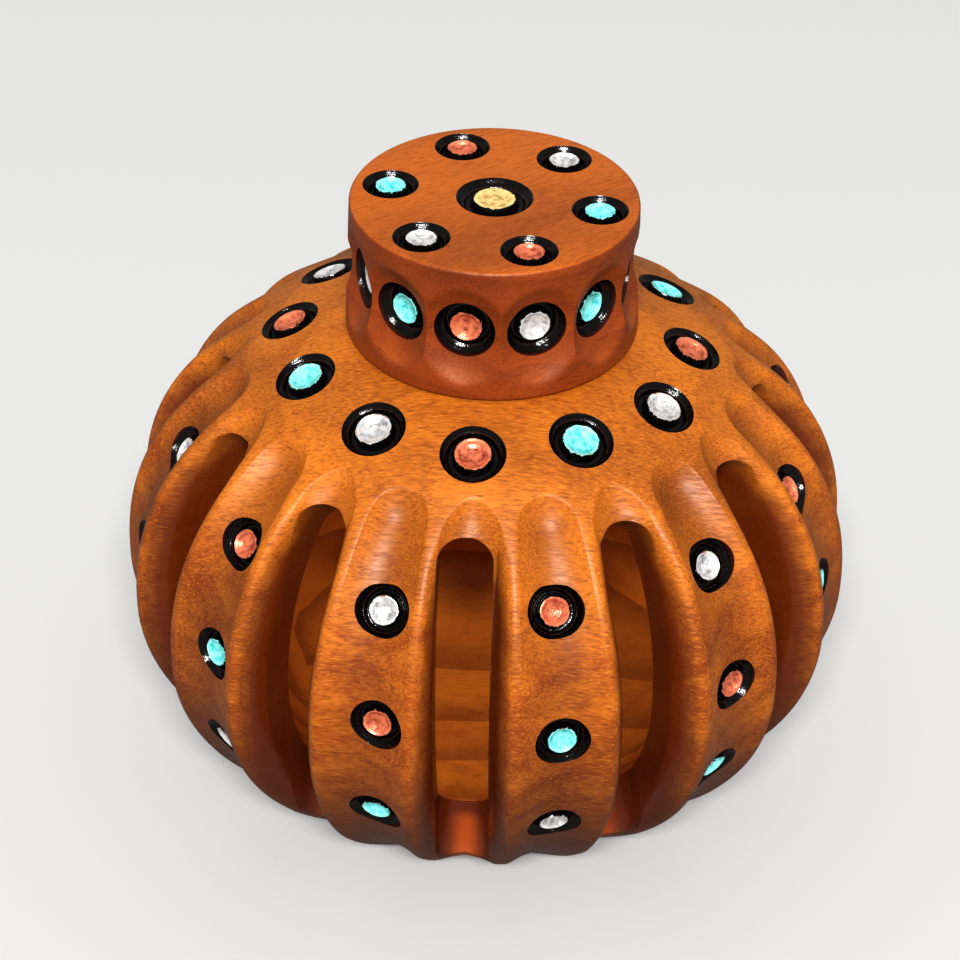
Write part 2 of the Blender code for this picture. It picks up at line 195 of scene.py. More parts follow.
def ridgeAt(length):
    radius = np.interp(length, ridgeLength, ridgeLine[:, 0])
    height = np.interp(length, ridgeLength, ridgeLine[:, 1])
    return radius, height


def ridgeNormal(length):
    step = 0.4 * mm
    length = np.clip(length, step, lineEnd - step)
    radiusBefore, heightBefore = ridgeAt(length - step)
    radiusAfter, heightAfter = ridgeAt(length + step)
    along = np.hypot(radiusAfter - radiusBefore, heightAfter - heightBefore)
    return -(heightAfter - heightBefore) / along, (radiusAfter - radiusBefore) / along


def lengthAtHeight(height):
    return float(np.interp(-height, -ridgeLine[:, 1], ridgeLength))


def lengthAtCrown(radius):
    return float(np.interp(radius, crown[::-1, 0], ridgeLength[: len(crown)]))


def lengthAtFoot(radius):
    return float(np.interp(-radius, -foot[:, 0], ridgeLength[len(crown) - 1:]))


fluteTop = lengthAtCrown(vessel["fluteTopRadius"])
fluteEnd = lengthAtFoot(vessel["fluteEndRadius"])
bellyLine = lengthAtHeight(vessel["bellyHeight"])
grooveEnd = lengthAtHeight(vessel["grooveEndHeight"])
pitch = 2 * math.pi / vessel["flutes"]
halfSlot = vessel["slotWidth"] / 2
archCentre = fluteTop + vessel["slotTopGap"] + halfSlot


def smoothStep(value, low, high):
    share = np.clip((value - low) / (high - low), 0, 1)
    return share * share * (3 - 2 * share)


def inSpace(azimuth, radius, height, sideways=0.0):
    # Azimuth 0 faces -Y and grows towards +X
    outward = Vector((math.sin(azimuth), -math.cos(azimuth), 0))
    across = Vector((math.cos(azimuth), math.sin(azimuth), 0))
    return outward * radius + across * sideways + Vector((0, 0, height))


def pick(pierced, forPierced, forDotted):
    return np.where(pierced, vessel[forPierced], vessel[forDotted])


def hollowDepth(length, sideways, halfPitch, pierced):
    # How far the carved skin lies under the ridge line, sideways from the flute's middle line
    sideways = np.abs(sideways)
    scoopHalf = halfPitch - vessel["ridgeWidth"] / 2
    arch = pick(pierced, "piercedArch", "dottedArch")
    roundness = pick(pierced, "piercedRoundness", "dottedRoundness")
    depth = np.interp(
        length, (fluteTop, bellyLine, grooveEnd),
        (vessel["topDepth"], vessel["bellyDepth"], vessel["footDepth"]),
    )
    above = np.clip((fluteTop + arch - length) / arch, 0, 4)
    below = np.clip((length - (fluteEnd - vessel["fluteFade"])) / vessel["fluteFade"], 0, 4)
    across = (sideways / scoopHalf) ** roundness
    squared = (across + above ** roundness) ** (2 / roundness)
    inside = 1 - squared - below ** 2
    soft = vessel["edgeSoftness"]
    scoop = depth * 0.5 * (inside + np.sqrt(inside ** 2 + soft ** 2))

    # Beside a slot the ridge rolls over into the slot's wall
    rollWidth = np.maximum(halfPitch - halfSlot - vessel["flankInset"], 1 * mm)
    beyondWall = sideways - halfSlot
    near = np.clip(1 - beyondWall / rollWidth, 0, 1)
    wall = np.interp(
        length, (fluteTop, bellyLine, grooveEnd),
        (vessel["crownWall"], vessel["bellyWall"], vessel["footWall"]),
    )
    roll = 1 - np.clip(1 - near ** vessel["flankRise"], 0, 1) ** vessel["flankFall"]
    roll = vessel["flankShare"] * wall * roll
    rolled = smoothStep(length, fluteTop + vessel["flankStart"], fluteTop + vessel["flankFull"])
    rolled = rolled * (1 - smoothStep(
        length, grooveEnd - vessel["flankFadeStart"], grooveEnd - vessel["flankFadeEnd"]
    ))
    rolled = np.where(pierced, rolled, 0)

    toArch = np.hypot(sideways, np.minimum(length - archCentre, 0)) - halfSlot
    nearArch = np.clip(1 - toArch / vessel["archEdge"], 0, 1)
    lip = vessel["archEdge"] * (1 - np.sqrt(np.clip(1 - nearArch ** 2, 0, 1)))
    lip = np.where(pierced & (length < grooveEnd), lip, 0)
    return scoop * (1 - rolled) + roll * rolled + lip * (1 - rolled)


# Skin: where its columns go over from a scoop to a slot, and how far the arches bend its rows
skin = {
    "slotInset": 0.3 * mm,
    "leastFlank": 0.5 * mm,
    "slotFrom": (2 * mm, 11 * mm),  # from the flutes' tops
    "slotTo": (1 * mm, 9 * mm),  # from the grooves' ends
    "ridgeColumn": 0.55,
    "warpStart": 9 * mm,
    "warpEnd": 26 * mm,
}


def skinRows():
    # Where each run of rows ends, down the ridge line, and its spacing in millimetres
    runs = (
        (fluteTop - skin["warpStart"], 2.0), (fluteTop - 0.6 * mm, 1.2), (fluteTop + 0.6 * mm, 0.3),
        (fluteTop + 5 * mm, 0.75), (fluteTop + 10 * mm, 0.6), (bellyLine, 1.8),
        (grooveEnd - 6 * mm, 2.1), (grooveEnd + 3 * mm, 0.8), (lineEnd, 1.5),
    )
    rows, start = [], 0
    for end, spacing in runs:
        count = max(round((end - start) / (spacing * mm)), 1)
        rows += [start + (end - start) * step / count for step in range(count)]
        start = end
    return np.array(rows + [lineEnd])


# Columns of half a flute: shares of its scoop near the top, places beside the slot lower down
scoopShares = np.array((0.0, 0.2, 0.38, 0.54, 0.67, 0.78, 0.87, 0.93, 0.97, 0.99, 1.0))
slotPlaces = np.array((0.0, 0.96))
rollShares = np.array((0.0, 0.05, 0.13, 0.24, 0.37, 0.52, 0.68, 0.84, 1.0))
columnsPerHalf = len(scoopShares) + 1


def columnSideways(column, halfPitch, pierced, length):
    scoopHalf = halfPitch - vessel["ridgeWidth"] / 2
    place = np.clip(column, 0, len(scoopShares) - 1)
    byScoop = scoopShares[place] * scoopHalf
    slotEdge = slotPlaces * (halfSlot - skin["slotInset"])
    count = len(slotPlaces)
    rollPlace = np.clip(place - count, 0, len(rollShares) - 1)
    byRoll = halfSlot + rollShares[rollPlace] * np.maximum(scoopHalf - halfSlot, skin["leastFlank"])
    bySlot = np.where(place < count, slotEdge[np.clip(place, 0, count - 1)], byRoll)
    share = smoothStep(length, fluteTop + skin["slotFrom"][0], fluteTop + skin["slotFrom"][1])
    share = share * (1 - smoothStep(length, grooveEnd + skin["slotTo"][0], grooveEnd + skin["slotTo"][1]))
    share = np.where(pierced, share, 0)
    sideways = byScoop * (1 - share) + bySlot * share
    onRidge = scoopHalf + skin["ridgeColumn"] * (halfPitch - scoopHalf)
    sideways = np.where(column == len(scoopShares), onRidge, sideways)
    return np.where(column > len(scoopShares), halfPitch, sideways)


def archShift(column, pierced):
    arch = pick(pierced, "piercedArch", "dottedArch")
    roundness = pick(pierced, "piercedRoundness", "dottedRoundness")
    share = np.append(scoopShares, (1.0, 1.0))[np.clip(column, 0, len(scoopShares) + 1)]
    return arch * (1 - np.clip(1 - share ** roundness, 0, 1) ** (1 / roundness))


def meshFrom(name, bm, materials):
    data = bpy.data.meshes.new(name)
    bm.to_mesh(data)
    bm.free()
    for material in materials:
        data.materials.append(material)
    made = bpy.data.objects.new(name, data)
    bpy.context.scene.collection.objects.link(made)
    return made


def spun(bm, profile, steps):
    start = [bm.verts.new((radius, 0, height)) for radius, height in profile]
    edges = [bm.edges.new(pair) for pair in zip(start, start[1:])]
    bmesh.ops.spin(
        bm, geom=start + edges, cent=(0, 0, 0), axis=(0, 0, 1),
        angle=2 * math.pi, steps=steps, use_merge=True,
    )
    bmesh.ops.remove_doubles(bm, verts=bm.verts, dist=weldGap / 2)
    bmesh.ops.recalc_face_normals(bm, faces=bm.faces)


def cutWith(body, cutter):
    cutting = body.modifiers.new("cut", "BOOLEAN")
    cutting.operation = "DIFFERENCE"
    cutting.solver = "MANIFOLD"
    cutting.material_mode = "INDEX"
    cutting.object = cutter
    bpy.context.view_layer.objects.active = body
    body.select_set(True)
    bpy.ops.object.modifier_apply(modifier=cutting.name)
    bpy.data.objects.remove(cutter, do_unlink=True)


def flatGrid(rowCount, columnCount):
    # A grid with the column and row of each vertex, to be moved round into a closed skin
    bm = bmesh.new()
    bmesh.ops.create_grid(bm, x_segments=columnCount, y_segments=rowCount - 1, size=1.0)
    places = np.array([vertex.co[:2] for vertex in bm.verts])
    columns = np.rint((places[:, 0] + 1) / 2 * columnCount).astype(int)
    rows = np.rint((1 - places[:, 1]) / 2 * (rowCount - 1)).astype(int)
    return bm, columns, rows


def moveAll(bm, points):
    for vertex, point in zip(bm.verts, points):
        vertex.co = point


def closeEnds(bm, lowest, highest):
    # Merges the seam, then caps the open rings at the top and the bottom
    bmesh.ops.remove_doubles(bm, verts=bm.verts, dist=weldGap)
    for height in (lowest, highest):
        ring = [
            edge for edge in bm.edges
            if edge.is_boundary and abs(edge.verts[0].co.z - height) < 10 * weldGap
        ]
        bmesh.ops.contextual_create(bm, geom=ring)
    bmesh.ops.recalc_face_normals(bm, faces=bm.faces)


def flutedSkin(materials):
    rowLengths = skinRows()
    flutes = vessel["flutes"]
    perFlute = 2 * columnsPerHalf
    bm, columns, rows = flatGrid(len(rowLengths), flutes * perFlute)
    flute = (columns + columnsPerHalf) // perFlute
    offset = columns - flute * perFlute
    pierced = flute % 2 == 0
    column = np.abs(offset)
    base = rowLengths[rows]
    warp = smoothStep(base, fluteTop - skin["warpStart"], fluteTop)
    warp = warp * (1 - smoothStep(base, fluteTop, fluteTop + skin["warpEnd"]))
    length = base + archShift(column, pierced) * warp
    length = np.minimum(length, lineEnd)
    radius, height = ridgeAt(length)
    halfPitch = radius * math.sin(pitch / 2)
    sideways = columnSideways(column, halfPitch, pierced, length)
    depth = hollowDepth(length, sideways, halfPitch, pierced)
    depth = np.where((rows == 0) | (rows == len(rowLengths) - 1), 0, depth)
    normalRadius, normalHeight = ridgeNormal(length)
    azimuth = flute * pitch + np.sign(offset) * np.arcsin(np.clip(sideways / radius, -1, 1))
    radius = radius - normalRadius * depth
    height = height - normalHeight * depth
    points = np.stack((np.sin(azimuth) * radius, -np.cos(azimuth) * radius, height), axis=1)
    moveAll(bm, points)
    closeEnds(bm, float(ridgeLine[-1, 1]), float(ridgeLine[0, 1]))
    return meshFrom("vessel_body", bm, materials)


def hollowCutter(materials):
    widest = vessel["bellyRadius"] - vessel["bellyWall"]
    rise = vessel["crownRise"] - vessel["crownWall"]
    drop = vessel["footDrop"] - vessel["footWall"]
    floorDepth = vessel["bellyHeight"] - vessel["floorThickness"]
    floorRadius = quarterRadius(floorDepth, widest, drop, vessel["footFullness"])
    above = float(ridgeLine[0, 1]) + vessel["hollowRise"]
    upper = quarterCurve(widest, rise, vessel["crownFullness"], vessel["mouthRadius"], 1)[::-1]
    lower = quarterCurve(widest, drop, vessel["footFullness"], floorRadius, -1)
    keep = np.linspace(0, len(upper) - 1, vessel["hollowRows"]).astype(int)
    profile = [(0, above), (vessel["mouthRadius"], above)]
    profile += [tuple(point) for point in upper[keep]]
    profile += [tuple(point) for point in lower[keep][1:]]
    profile.append((0, float(lower[-1, 1])))
    bm = bmesh.new()
    spun(bm, profile, vessel["hollowSides"])
    for face in bm.faces:
        face.material_index = 1
    return meshFrom("hollow", bm, materials)


def slotSections():
    # Half width, inner end and outer end of the slot from its arch down to the groove's run-out,
    # and the share of its lean there
    reach, past = vessel["bellyWall"] + vessel["slotReach"], vessel["slotPast"]
    halfCut = halfSlot + vessel["slotEase"]
    footLean = vessel["footLean"]
    top = fluteTop + vessel["slotTopGap"]
    widths = []
    archSteps, sideSteps, floorSteps = 9, 26, 14
    for step in range(1, archSteps + 1):
        angle = math.pi / 2 * step / archSteps
        widths.append((halfCut * math.sin(angle), top + halfSlot * (1 - math.cos(angle))))
    last = lengthAtHeight(vessel["slotFloorHeight"] + vessel["slotTurnIn"])
    for step in range(1, sideSteps + 1):
        widths.append((halfCut, archCentre + (last - archCentre) * step / sideSteps))
    sections, leaning = [], []
    for width, length in widths:
        place, normal = Vector(ridgeAt(length)), Vector(ridgeNormal(length))
        sunk = normal * vessel["slotPivot"]
        normal.y = min(normal.y, math.sin(vessel["slotTopRise"]))
        normal.normalize()
        sections.append((width, place - sunk - normal * reach, place - sunk + normal * past))
        leaning.append(1 - (1 - footLean) * float(smoothStep(length, archCentre, last)))
    floorLength = lengthAtHeight(vessel["slotFloorHeight"])
    floor = Vector(ridgeAt(floorLength)) - Vector((vessel["grooveSink"], 0))
    end = Vector(ridgeAt(grooveEnd))
    for step in range(floorSteps + 1):
        share = step / floorSteps
        length = floorLength + (grooveEnd - floorLength) * share
        inner = Vector((
            floor.x + (end.x - floor.x) * share ** vessel["grooveSweep"],
            floor.y + (end.y - floor.y) * share,
        ))
        outer = Vector(ridgeAt(length)) + Vector(ridgeNormal(length)) * past
        sections.append((halfCut, inner, outer))
        leaning.append(footLean * (1 - float(smoothStep(share, 0.0, 0.6))))
    tail = (sections[-1][1] - sections[-2][1]).normalized() * past
    sections.append((halfCut, sections[-1][1] + tail, sections[-1][2] + tail))
    return sections, leaning + [0.0]


def slotOutline(width, inner, outer):
    # A U-shaped section: two straight walls with a rounded floor between them
    corner = min(vessel["grooveCorner"], width * 0.98)
    along = outer - inner
    span = along.length
    along = along.normalized()
    wallSteps, cornerSteps = 5, 7
    side = []
    for step in range(wallSteps):
        share = step / wallSteps
        side.append((outer - along * (span - corner) * share, width))
    for step in range(cornerSteps + 1):
        angle = math.pi / 2 * step / cornerSteps
        back = corner * (1 - math.sin(angle))
        side.append((inner + along * back, width - corner * (1 - math.cos(angle))))
    return side + [(place, -sideways) for place, sideways in reversed(side)]


def slotsCutter(materials):
    bm = bmesh.new()
    sections, leaning = slotSections()
    for index in range(0, vessel["flutes"], 2):
        azimuth = index * pitch
        lean = vessel["slotLeans"][index // 2] * mm
        ring = [
            bm.verts.new(inSpace(azimuth, place.x, place.y, side + lean))
            for place, side in slotOutline(*sections[0])
        ]
        edges = [bm.edges.new(pair) for pair in zip(ring, ring[1:] + ring[:1])]
        bmesh.ops.contextual_create(bm, geom=edges)
        for section, share in zip(sections[1:], leaning[1:]):
            grown = bmesh.ops.extrude_edge_only(bm, edges=edges)["geom"]
            ring = [item for item in grown if isinstance(item, bmesh.types.BMVert)]
            edges = [
                item for item in grown
                if isinstance(item, bmesh.types.BMEdge) and item.is_boundary
            ]
            for vertex, (place, side) in zip(ring, slotOutline(*section)):
                vertex.co = inSpace(azimuth, place.x, place.y, side + lean * share)
        bmesh.ops.contextual_create(bm, geom=edges)
    bmesh.ops.recalc_face_normals(bm, faces=bm.faces)
    return meshFrom("slots", bm, materials)


def addDot(bm, radius, place, outward, up, paint, seed, shape="profile"):
    # One dot cutter, its painted rim a little uneven, with a flat map of itself for the paint
    part = bmesh.new()
    profile = [(radius * share, height * mm) for share, height in dot[shape]]
    spun(part, profile + [(0, profile[-1][1])], dot["sides"])
    uvLayer = part.loops.layers.uv.new("dotMap")
    mapped = dot["mapScale"] / radius
    for face in part.faces:
        face.material_index = paint
        for loop in face.loops:
            loop[uvLayer].uv = (0.5 + mapped * loop.vert.co.x, 0.5 + mapped * loop.vert.co.y)
    for vertex in part.verts:
        share = vertex.co.xy.length / radius
        rim = math.exp(-((share - dot["rimShare"]) / dot["rimWidth"]) ** 2)
        cup = math.exp(-(share / dot["cupWidth"]) ** 4)
        where = vertex.co * dot["lumpScale"] + Vector((seed * 7.3, seed * 3.1, 0))
        sway = noise.noise(where) * rim
        outwards = vertex.co.xy.normalized() if share > 0.01 else Vector((0, 0))
        vertex.co.x += outwards.x * sway * dot["raggedness"]
        vertex.co.y += outwards.y * sway * dot["raggedness"]
        fine = noise.noise(where * 1.7 + Vector((0, 0, 40)))
        vertex.co.z += fine * (rim + dot["cupLumps"] * cup) * dot["lumps"]
    across = up.cross(outward).normalized()
    axes = Matrix((across, outward.cross(across), outward)).transposed().to_4x4()
    bmesh.ops.transform(part, matrix=Matrix.Translation(place) @ axes, verts=part.verts)
    data = bpy.data.meshes.new("dot")
    part.to_mesh(data)
    part.free()
    bm.from_mesh(data)
    bpy.data.meshes.remove(data)


# Places of the paints among the materials of the vessel and the lid
copper, turquoise, silver, gold = 2, 3, 4, 5


def globeDotPlaces():
    # Every dot on the globe: radius, azimuth, length down the ridge line, step sideways and paint
    ring = lengthAtCrown(vessel["shoulderDotRing"])
    places = []
    for index, (aside, along) in enumerate(dot["shoulderSteps"]):
        paint = (copper, turquoise, silver)[index % 3]
        azimuth = index * 2 * pitch
        places.append((dot["shoulderRadius"], azimuth, ring + along * mm, aside * mm, paint))
    for index in range(vessel["flutes"] // 2):
        order = ((copper, turquoise, silver), (silver, copper, turquoise))[index % 2]
        for row, paint in enumerate(order):
            length = lengthAtHeight(vessel["bellyHeight"] + dot["fluteRises"][row])
            aside, along = dot["fluteSteps"][row][index]
            azimuth = (index * 2 + 1) * pitch
            places.append((dot["fluteRadius"], azimuth, length + along * mm, aside * mm, paint))
    return places


def globeDotsCutter(materials):
    bm = bmesh.new()
    for seed, (radius, azimuth, length, aside, paint) in enumerate(globeDotPlaces()):
        edge, height = ridgeAt(length)
        normal = ridgeNormal(length)
        halfPitch = np.array(edge * math.sin(pitch / 2))
        sunk = float(hollowDepth(np.array(length), np.array(0.0), halfPitch, np.array(False)))
        azimuth += aside / edge
        place = inSpace(azimuth, edge - normal[0] * sunk, height - normal[1] * sunk)
        outward = inSpace(azimuth, float(normal[0]), float(normal[1]))
        up = inSpace(azimuth, -float(normal[1]), float(normal[0]))
        addDot(bm, radius, place, outward, up, paint, seed)
    return meshFrom("dots", bm, materials)


def lidProfile():
    bottom = float(ridgeLine[0, 1]) + lid["gap"]
    top = bottom + lid["height"]
    edge = lid["edge"]
    upper = lid["radius"] - lid["taper"]
    profile = []
    for step in range(lid["arcSteps"] + 1):
        angle = math.pi / 2 * step / lid["arcSteps"]
        profile.append((upper - edge + edge * math.sin(angle), top - edge + edge * math.cos(angle)))
    for step in range(1, lid["sideSteps"]):
        share = step / lid["sideSteps"]
        profile.append((upper + lid["taper"] * share, top - edge - (lid["height"] - 2 * edge) * share))
    for step in range(lid["arcSteps"] + 1):
        angle = math.pi / 2 * step / lid["arcSteps"]
        inwards = edge * lid["footEdge"] * (1 - math.cos(angle))
        profile.append((lid["radius"] - inwards, bottom + edge - edge * math.sin(angle)))
    spigot = vessel["mouthRadius"] - lid["spigotClearance"]
    spigotEnd = float(ridgeLine[0, 1]) - lid["spigotLength"]
    spigotEdge = lid["spigotEdge"]
    profile += [(spigot, bottom), (spigot, spigotEnd + spigotEdge), (spigot - spigotEdge, spigotEnd)]
    return np.array(profile)


# Columns of half a scoop on the lid's side
lidShares = np.array((0.0, 0.14, 0.28, 0.42, 0.55, 0.67, 0.78, 0.87, 0.94, 0.98, 1.0))


def lidBody(materials):
    profile = lidProfile()
    perHalf = len(lidShares) - 1
    count = lid["scoops"] * 2 * perHalf
    bm, columns, rows = flatGrid(len(profile), count)
    scoop = (columns + perHalf) // (2 * perHalf)
    offset = columns - scoop * 2 * perHalf
    half = math.pi / lid["scoops"]
    turn = np.sign(offset) * lidShares[np.abs(offset)] * half
    radius, height = profile[rows, 0], profile[rows, 1]
    bottom = float(ridgeLine[0, 1]) + lid["gap"]
    middle = bottom + lid["height"] / 2
    ball = lid["scoopRadius"]
    centre = lid["radius"] - lid["taper"] / 2 - lid["scoopDepth"] + ball
    soft = lid["ridgeSoftness"]

    def ballReach(angle):
        under = ball ** 2 - (height - middle) ** 2 - (centre * np.sin(angle)) ** 2
        reach = centre * np.cos(angle) - np.sqrt(np.clip(under, 0, None))
        return np.where(under > 0, reach, centre)

    def softLess(one, other):
        return 0.5 * (one + other - np.sqrt((one - other) ** 2 + soft ** 2))

    reach = softLess(ballReach(np.abs(turn)), ballReach(2 * half - np.abs(turn)))
    onSide = (height > bottom + 0.05 * mm) & (radius > vessel["mouthRadius"] + 1 * mm)
    fade = 1 - np.clip((reach - radius) / lid["scoopFade"], 0, 1)
    inScoop = onSide & (reach < radius + lid["scoopFade"])
    radius = np.where(inScoop, radius * (1 - fade) + softLess(radius, reach) * fade, radius)
    azimuth = lid["turn"] + scoop * 2 * half + turn
    points = np.stack((np.sin(azimuth) * radius, -np.cos(azimuth) * radius, height), axis=1)
    moveAll(bm, points)
    closeEnds(bm, float(profile[-1, 1]), float(profile[0, 1]))
    return meshFrom("lid_body", bm, materials)


def lidDotsCutter(materials, first, withTop):
    # Every second dot of the side, because the cutters of neighbours cross
    bm = bmesh.new()
    bottom = float(ridgeLine[0, 1]) + lid["gap"]
    top = bottom + lid["height"]
    middle = bottom + lid["height"] / 2
    floor = lid["radius"] - lid["taper"] / 2 - lid["scoopDepth"]
    up = Vector((0, 0, 1))
    for index in range(first, lid["scoops"], 2):
        azimuth = lid["turn"] + index * 2 * math.pi / lid["scoops"]
        paint = (silver, turquoise, copper)[index % 3]
        place = inSpace(azimuth, floor, middle)
        addDot(bm, dot["lidSideRadius"], place, inSpace(azimuth, 1, 0), up, paint, 60 + index)
    if withTop:
        ring = lid["radius"] - lid["taper"] - lid["topMargin"] - dot["lidTopRadius"]
        for index in range(lid["topDots"]):
            azimuth = lid["turn"] + index * 2 * math.pi / lid["topDots"]
            paint = (copper, turquoise, silver)[index % 3]
            place = inSpace(azimuth, ring, top)
            addDot(bm, dot["lidTopRadius"], place, up, inSpace(azimuth, 1, 0), paint, 80 + index)
        centre = Vector((0, 0, top))
        addDot(bm, dot["lidCentreRadius"], centre, up, Vector((0, 1, 0)), gold, 90, "centreProfile")
    return meshFrom("lid_dots", bm, materials)


# Wood finish: colours in linear light, and scales of the figure per metre along and across the grain
wood = {
    "glint": (0.66, 0.26, 0.04),
    "pale": (0.58, 0.195, 0.016),
    "mid": (0.35, 0.086, 0.008),
    "deep": (0.13, 0.018, 0.002),
    # Real stains, and the same colour as painted shade at the foot and down the flanks
    "stainAndShade": (0.075, 0.013, 0.003),
    # Painted shade deep in the slots and grooves
    "recessShadeColour": (0.135, 0.022, 0.003),
    # Painted highlight along the middle of the grooves
    "grooveHighlight": (0.42, 0.088, 0.009),
    "ringPitch": 6.5 * mm,
    "ringWander": 12 * mm,
    "ringStretch": 0.06,
    "pith": (30 * mm, -70 * mm),  # towards the back, and up from the base
    "ringStrength": 0.2,
    "fibreSway": 1.6 * mm,
    "fibreScale": (260, 1900, 1900),
    "toolScale": (480, 3200, 3200),
    "mottleScale": (85, 140, 140),
    "cloudScale": (22, 34, 34),
    "cloudShare": 0.4,
    "fibreShare": 0.42,
    "glintShare": 0.5,
    "toolShare": 0.45,
    # Painted light: paler and more golden towards the crown
    "crownLight": (74 * mm, 104 * mm, 0.29),  # from this height to that, and how much
    # Painted shade: darker towards the foot, from this height down to that, and how much
    "footShade": (70 * mm, 24 * mm, 0.86),
    # Painted shade: darker down the flanks, and darker still deep in the slots, from this share sunk to
    # that, and how much
    "flankShade": (0.06, 0.34, 0.38),  # from this share sunk to that, and how much
    "recessShade": (0.25, 0.85, 0.8),
    "recessPolish": (0.6, 1.0),
    "grooveHighlightShare": 0.75,
    "grooveHighlightHalf": (0.2 * mm, 4.2 * mm),
    "sunkDepth": 10 * mm,
    "sunkDepthAtSlot": 5 * mm,
    "roughness": 0.47,
    "roughnessSwing": 0.06,
    "recessRoughness": 0.26,
    "specular": 0.42,
    "coat": 0.03,
    "coatRoughness": 0.3,
    "toolDepth": 0.05 * mm,
}

# How each wood differs: its colour cast, painted light (the hollow brightened, the lid's upward faces
# paler), the grain's turn, and how strong its figure is
woodLooks = {
    "turned_wood": {
        "tint": (1, 1, 1), "top": None, "turn": 0, "stainAndShade": 0.25,
        "bands": 0.0, "grain": 1.0, "golden": 0.0, "carved": True,
    },
    # The hollow's tint and golden warmth are raised: painted light inside the hollow
    "hollow_wood": {
        "tint": (1.64, 1.64, 1.5), "top": None, "turn": 0, "stainAndShade": 0.1,
        "bands": 0.3, "grain": 0.35, "golden": 0.2, "carved": False,
    },
    "lid_wood": {
        "tint": (0.54, 0.345, 0.43), "top": (1.68, 2.24, 2.27), "turn": math.radians(-38), "stainAndShade": 0.25,
        "bands": 0.0, "grain": 0.65, "golden": 0.0, "carved": False,
    },
}


def addNode(tree, kind, settings=None, inputs=None):
    made = tree.nodes.new(kind)
    for name, value in (settings or {}).items():
        setattr(made, name, value)
    for name, value in (inputs or {}).items():
        if isinstance(value, bpy.types.NodeSocket):
            tree.links.new(value, made.inputs[name])
        else:
            made.inputs[name].default_value = value
    return made


def maths(tree, operation, first, second=None, third=None):
    inputs = {0: first}
    if second is not None:
        inputs[1] = second
    if third is not None:
        inputs[2] = third
    return addNode(tree, "ShaderNodeMath", {"operation": operation}, inputs).outputs[0]


def ramp(tree, value, low, high, fromValue=0.0, toValue=1.0):
    inputs = {"Value": value, 1: low, 2: high, 3: fromValue, 4: toValue}
    settings = {"interpolation_type": "SMOOTHSTEP"}
    return addNode(tree, "ShaderNodeMapRange", settings, inputs).outputs[0]


def blend(tree, factor, first, second, mode="MIX"):
    made = addNode(tree, "ShaderNodeMix", {"data_type": "RGBA", "blend_type": mode})
    for socket, value in ((made.inputs[0], factor), (made.inputs[6], first), (made.inputs[7], second)):
        if isinstance(value, bpy.types.NodeSocket):
            tree.links.new(value, socket)
        else:
            socket.default_value = (*value, 1) if isinstance(value, tuple) else value
    return made.outputs[2]


def noiseAt(tree, vector, scale, detail=2.0, roughness=0.5, distortion=0.0):
    inputs = {
        "Vector": vector, "Scale": scale, "Detail": detail,
        "Roughness": roughness, "Distortion": distortion,
    }
    return addNode(tree, "ShaderNodeTexNoise", None, inputs).outputs[0]


def stretched(tree, vector, scale, turn=(0, 0, 0), move=(0, 0, 0)):
    inputs = {"Vector": vector, "Scale": scale, "Rotation": turn, "Location": move}
    return addNode(tree, "ShaderNodeMapping", None, inputs).outputs[0]


def freshMaterial(name):
    material = bpy.data.materials.new(name)
    material.use_nodes = True
    return material, material.node_tree, material.node_tree.nodes["Principled BSDF"]


